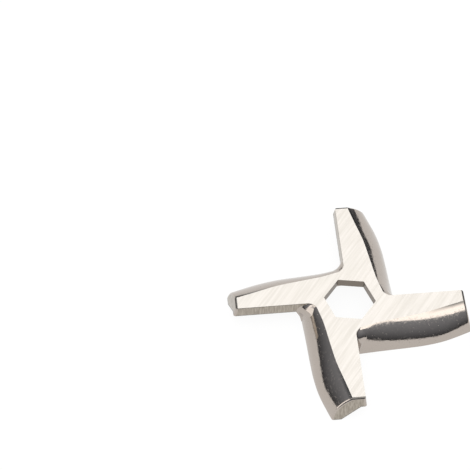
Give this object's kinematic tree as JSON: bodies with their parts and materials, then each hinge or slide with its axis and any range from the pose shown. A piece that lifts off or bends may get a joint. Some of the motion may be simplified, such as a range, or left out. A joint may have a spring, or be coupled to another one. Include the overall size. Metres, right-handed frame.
{
  "type": "meat grinder knife",
  "caption": "Flat cross-shaped grinder knife: long polished blades with a sloping back, one ground face and a hexagonal drive hole.",
  "frame": {"origin": "on the drive axis, in the plane of the four lands that the knife stands on", "axes": "+Z along the drive axis, out of the ground cutting face; +X along one blade, whose cutting edge lies close to the X axis"},
  "size_m": [0.0504, 0.0504, 0.0057],
  "materials": {
    "polished_steel": "ground flat on the cutting face, bright polished elsewhere"
  },
  "bodies": {
    "root": {"grinder_knife": "polished_steel"}
  },
  "joints": []
}
